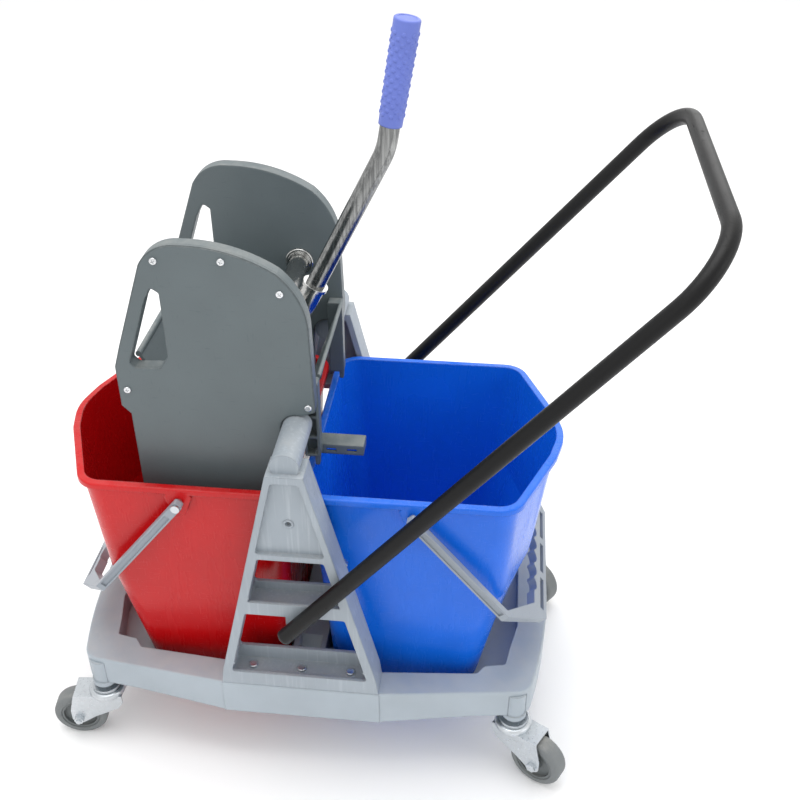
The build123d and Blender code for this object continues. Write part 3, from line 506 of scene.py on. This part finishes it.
grip_low, grip_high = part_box("lever_grip")
grip_middle = (grip_low + grip_high) / 2
grip_lean = math.radians(9.3)
grip_length = 0.125
grip_top_radius = 0.0159
grip_foot_radius = 0.0146
grip_sides = 56
pip_rows = 17
pips_round = 8
pip_radius = 0.0030

bpy.ops.object.select_all(action="DESELECT")
bpy.ops.mesh.primitive_cylinder_add(vertices=grip_sides, radius=grip_top_radius, depth=grip_length)
sleeve = bpy.context.object
settle(sleeve)
select_where(sleeve, "FACE", lambda face: face.normal.z < -0.9)
taper = grip_foot_radius / grip_top_radius
bpy.ops.transform.resize(value=(taper, taper, 1))
bpy.ops.mesh.inset(thickness=0.0016)
bpy.ops.transform.translate(value=(0, 0, 0.006))
select_where(sleeve, "EDGE", lambda a, b: a.z > 0.062 and b.z > 0.062 and a.xy.length > 0.0157)
bpy.ops.mesh.bevel(offset=0.0026, segments=4)
select_where(sleeve, "FACE", lambda face: face.normal.z > 0.99)
bpy.ops.mesh.inset(thickness=0.002)
bpy.ops.mesh.inset(thickness=0.0006)
bpy.ops.transform.translate(value=(0, 0, -0.0008))
bpy.ops.object.mode_set(mode="OBJECT")

bpy.ops.object.select_all(action="DESELECT")
bpy.ops.mesh.primitive_uv_sphere_add(segments=10, ring_count=6, radius=pip_radius)
pip = bpy.context.object
pip.scale = (0.46, 1, 0.92)
settle(pip)
first_row = -grip_length / 2 + 0.014
row_pitch = (grip_length - 0.030) / (pip_rows - 1)
sleeve_parts = [sleeve]
for row in range(pip_rows):
    height = first_row + row * row_pitch
    share = (height + grip_length / 2) / grip_length
    around = grip_foot_radius + (grip_top_radius - grip_foot_radius) * share
    for place in range(pips_round):
        angle = math.tau * (place + 0.5 * (row % 2)) / pips_round
        copy = pip.copy()
        copy.data = pip.data.copy()
        bpy.context.scene.collection.objects.link(copy)
        turn = Matrix.Rotation(angle, 4, "Z")
        copy.matrix_world = turn @ Matrix.Translation((around - 0.0002, 0, height))
        sleeve_parts.append(copy)
bpy.data.objects.remove(pip)
bpy.context.view_layer.update()
grip = joined(sleeve_parts, "ribbed_grip")
grip.matrix_world = Matrix.Translation(grip_middle) @ Matrix.Rotation(grip_lean, 4, "Y")
settle(grip)
grip_rubber = moulded("grip violet", srgb(96, 112, 190), 0.46, 1400.0, 0.00006, 0.12, 0.12, 0.2, 0.0006)
finish_piece(grip, grip_rubber, "lever", "grip", "lever_grip")


# ---------------------------------------------------------------- studio
# A pale floor that runs back to a white wall of light, with wide soft lamps overhead, in
# front and to the side, so that the chrome has something to reflect.

bpy.ops.object.select_all(action="DESELECT")
bpy.ops.mesh.primitive_plane_add(size=30, location=(0, 0, 0))
floor = bpy.context.object
floor.name = "studio_floor"
floor_white = bpy.data.materials.new("studio floor")
floor_white.use_nodes = True
floor_white.node_tree.nodes["Principled BSDF"].inputs["Base Color"].default_value = (0.98, 0.98, 0.98, 1)
floor_white.node_tree.nodes["Principled BSDF"].inputs["Roughness"].default_value = 0.7
floor.data.materials.append(floor_white)

world = bpy.data.worlds.new("studio light")
bpy.context.scene.world = world
world.use_nodes = True
world.node_tree.nodes["Background"].inputs["Color"].default_value = (1, 1, 1, 1)
world.node_tree.nodes["Background"].inputs["Strength"].default_value = 1.0

lamps = {
    "overhead": ((-0.2, 0.1, 2.6), (0, 0, 0.4), 1.8, 32),
    "front": ((-1.3, -2.3, 1.9), (0, 0, 0.45), 1.5, 5),
    "side": ((2.4, -0.9, 1.5), (0, 0, 0.4), 1.2, 7),
    "back": ((0.8, 2.4, 1.8), (0, 0, 0.5), 1.4, 9),
}
for name, (place, aim, size, power) in lamps.items():
    data = bpy.data.lights.new(name, "AREA")
    data.size = size
    data.energy = power
    lamp = bpy.data.objects.new(name, data)
    bpy.context.scene.collection.objects.link(lamp)
    lamp.location = place
    lamp.rotation_euler = (Vector(aim) - Vector(place)).to_track_quat("-Z", "Y").to_euler()

camera_place = Vector((0.1923, -1.2033, 1.3470))
camera_yaw = math.radians(5.94)
camera_pitch = math.radians(34.45)
ahead = Vector(
    (
        -math.sin(camera_yaw) * math.cos(camera_pitch),
        math.cos(camera_yaw) * math.cos(camera_pitch),
        -math.sin(camera_pitch),
    )
)
right = Vector((math.cos(camera_yaw), math.sin(camera_yaw), 0))
above = right.cross(ahead)
camera_data = bpy.data.cameras.new("camera")
camera_data.lens = 47.43
camera_data.sensor_width = 36
camera = bpy.data.objects.new("camera", camera_data)
bpy.context.scene.collection.objects.link(camera)
camera_turn = Matrix((right, above, -ahead)).transposed().to_4x4()
camera.matrix_world = Matrix.Translation(camera_place) @ camera_turn
bpy.context.scene.camera = camera
